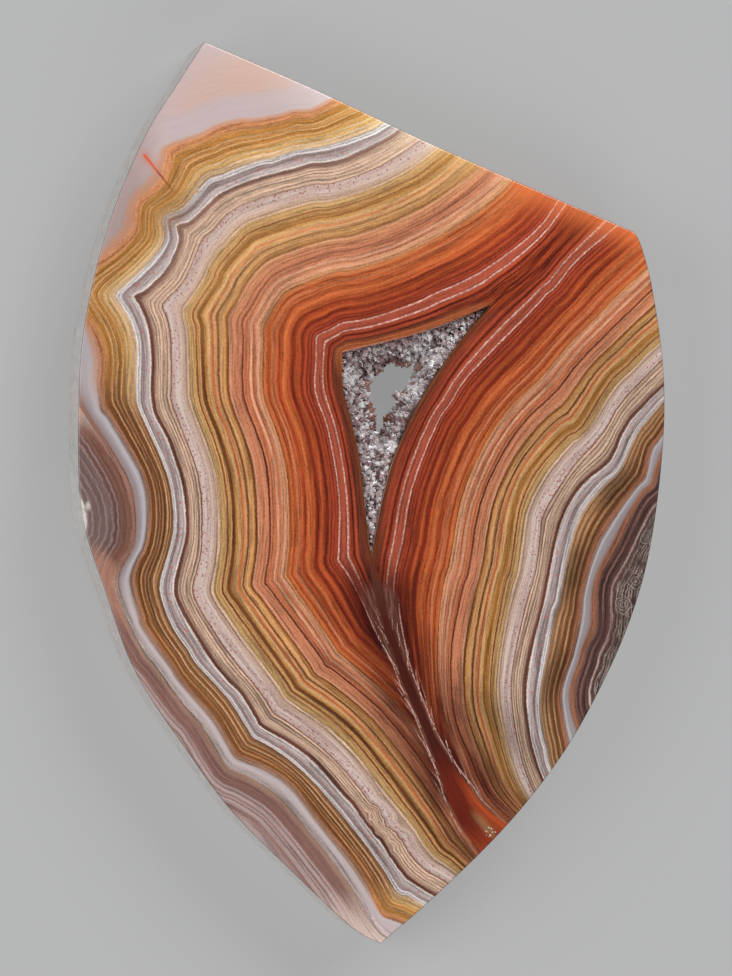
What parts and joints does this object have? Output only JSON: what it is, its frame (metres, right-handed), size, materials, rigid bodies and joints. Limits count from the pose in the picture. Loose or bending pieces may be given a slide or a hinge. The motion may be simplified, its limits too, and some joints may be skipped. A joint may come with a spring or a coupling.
{
  "type": "agate slice",
  "caption": "Thin freeform slice of banded agate, polished on its face, with a three-cornered hollow lined by a crust of small quartz crystals.",
  "frame": {"origin": "on the flat back, under the middle of the outline's box", "axes": "+Z out of the polished face, +Y along the slice towards its pointed top corner, +X across it towards its convex side"},
  "size_m": [0.0296, 0.045, 0.005],
  "materials": {
    "agate": "polished face, ground edge, sawn back",
    "quartz": "small glassy crystals"
  },
  "bodies": {
    "root": {"agate_slice": "agate", "quartz_druse": "quartz"}
  },
  "joints": []
}
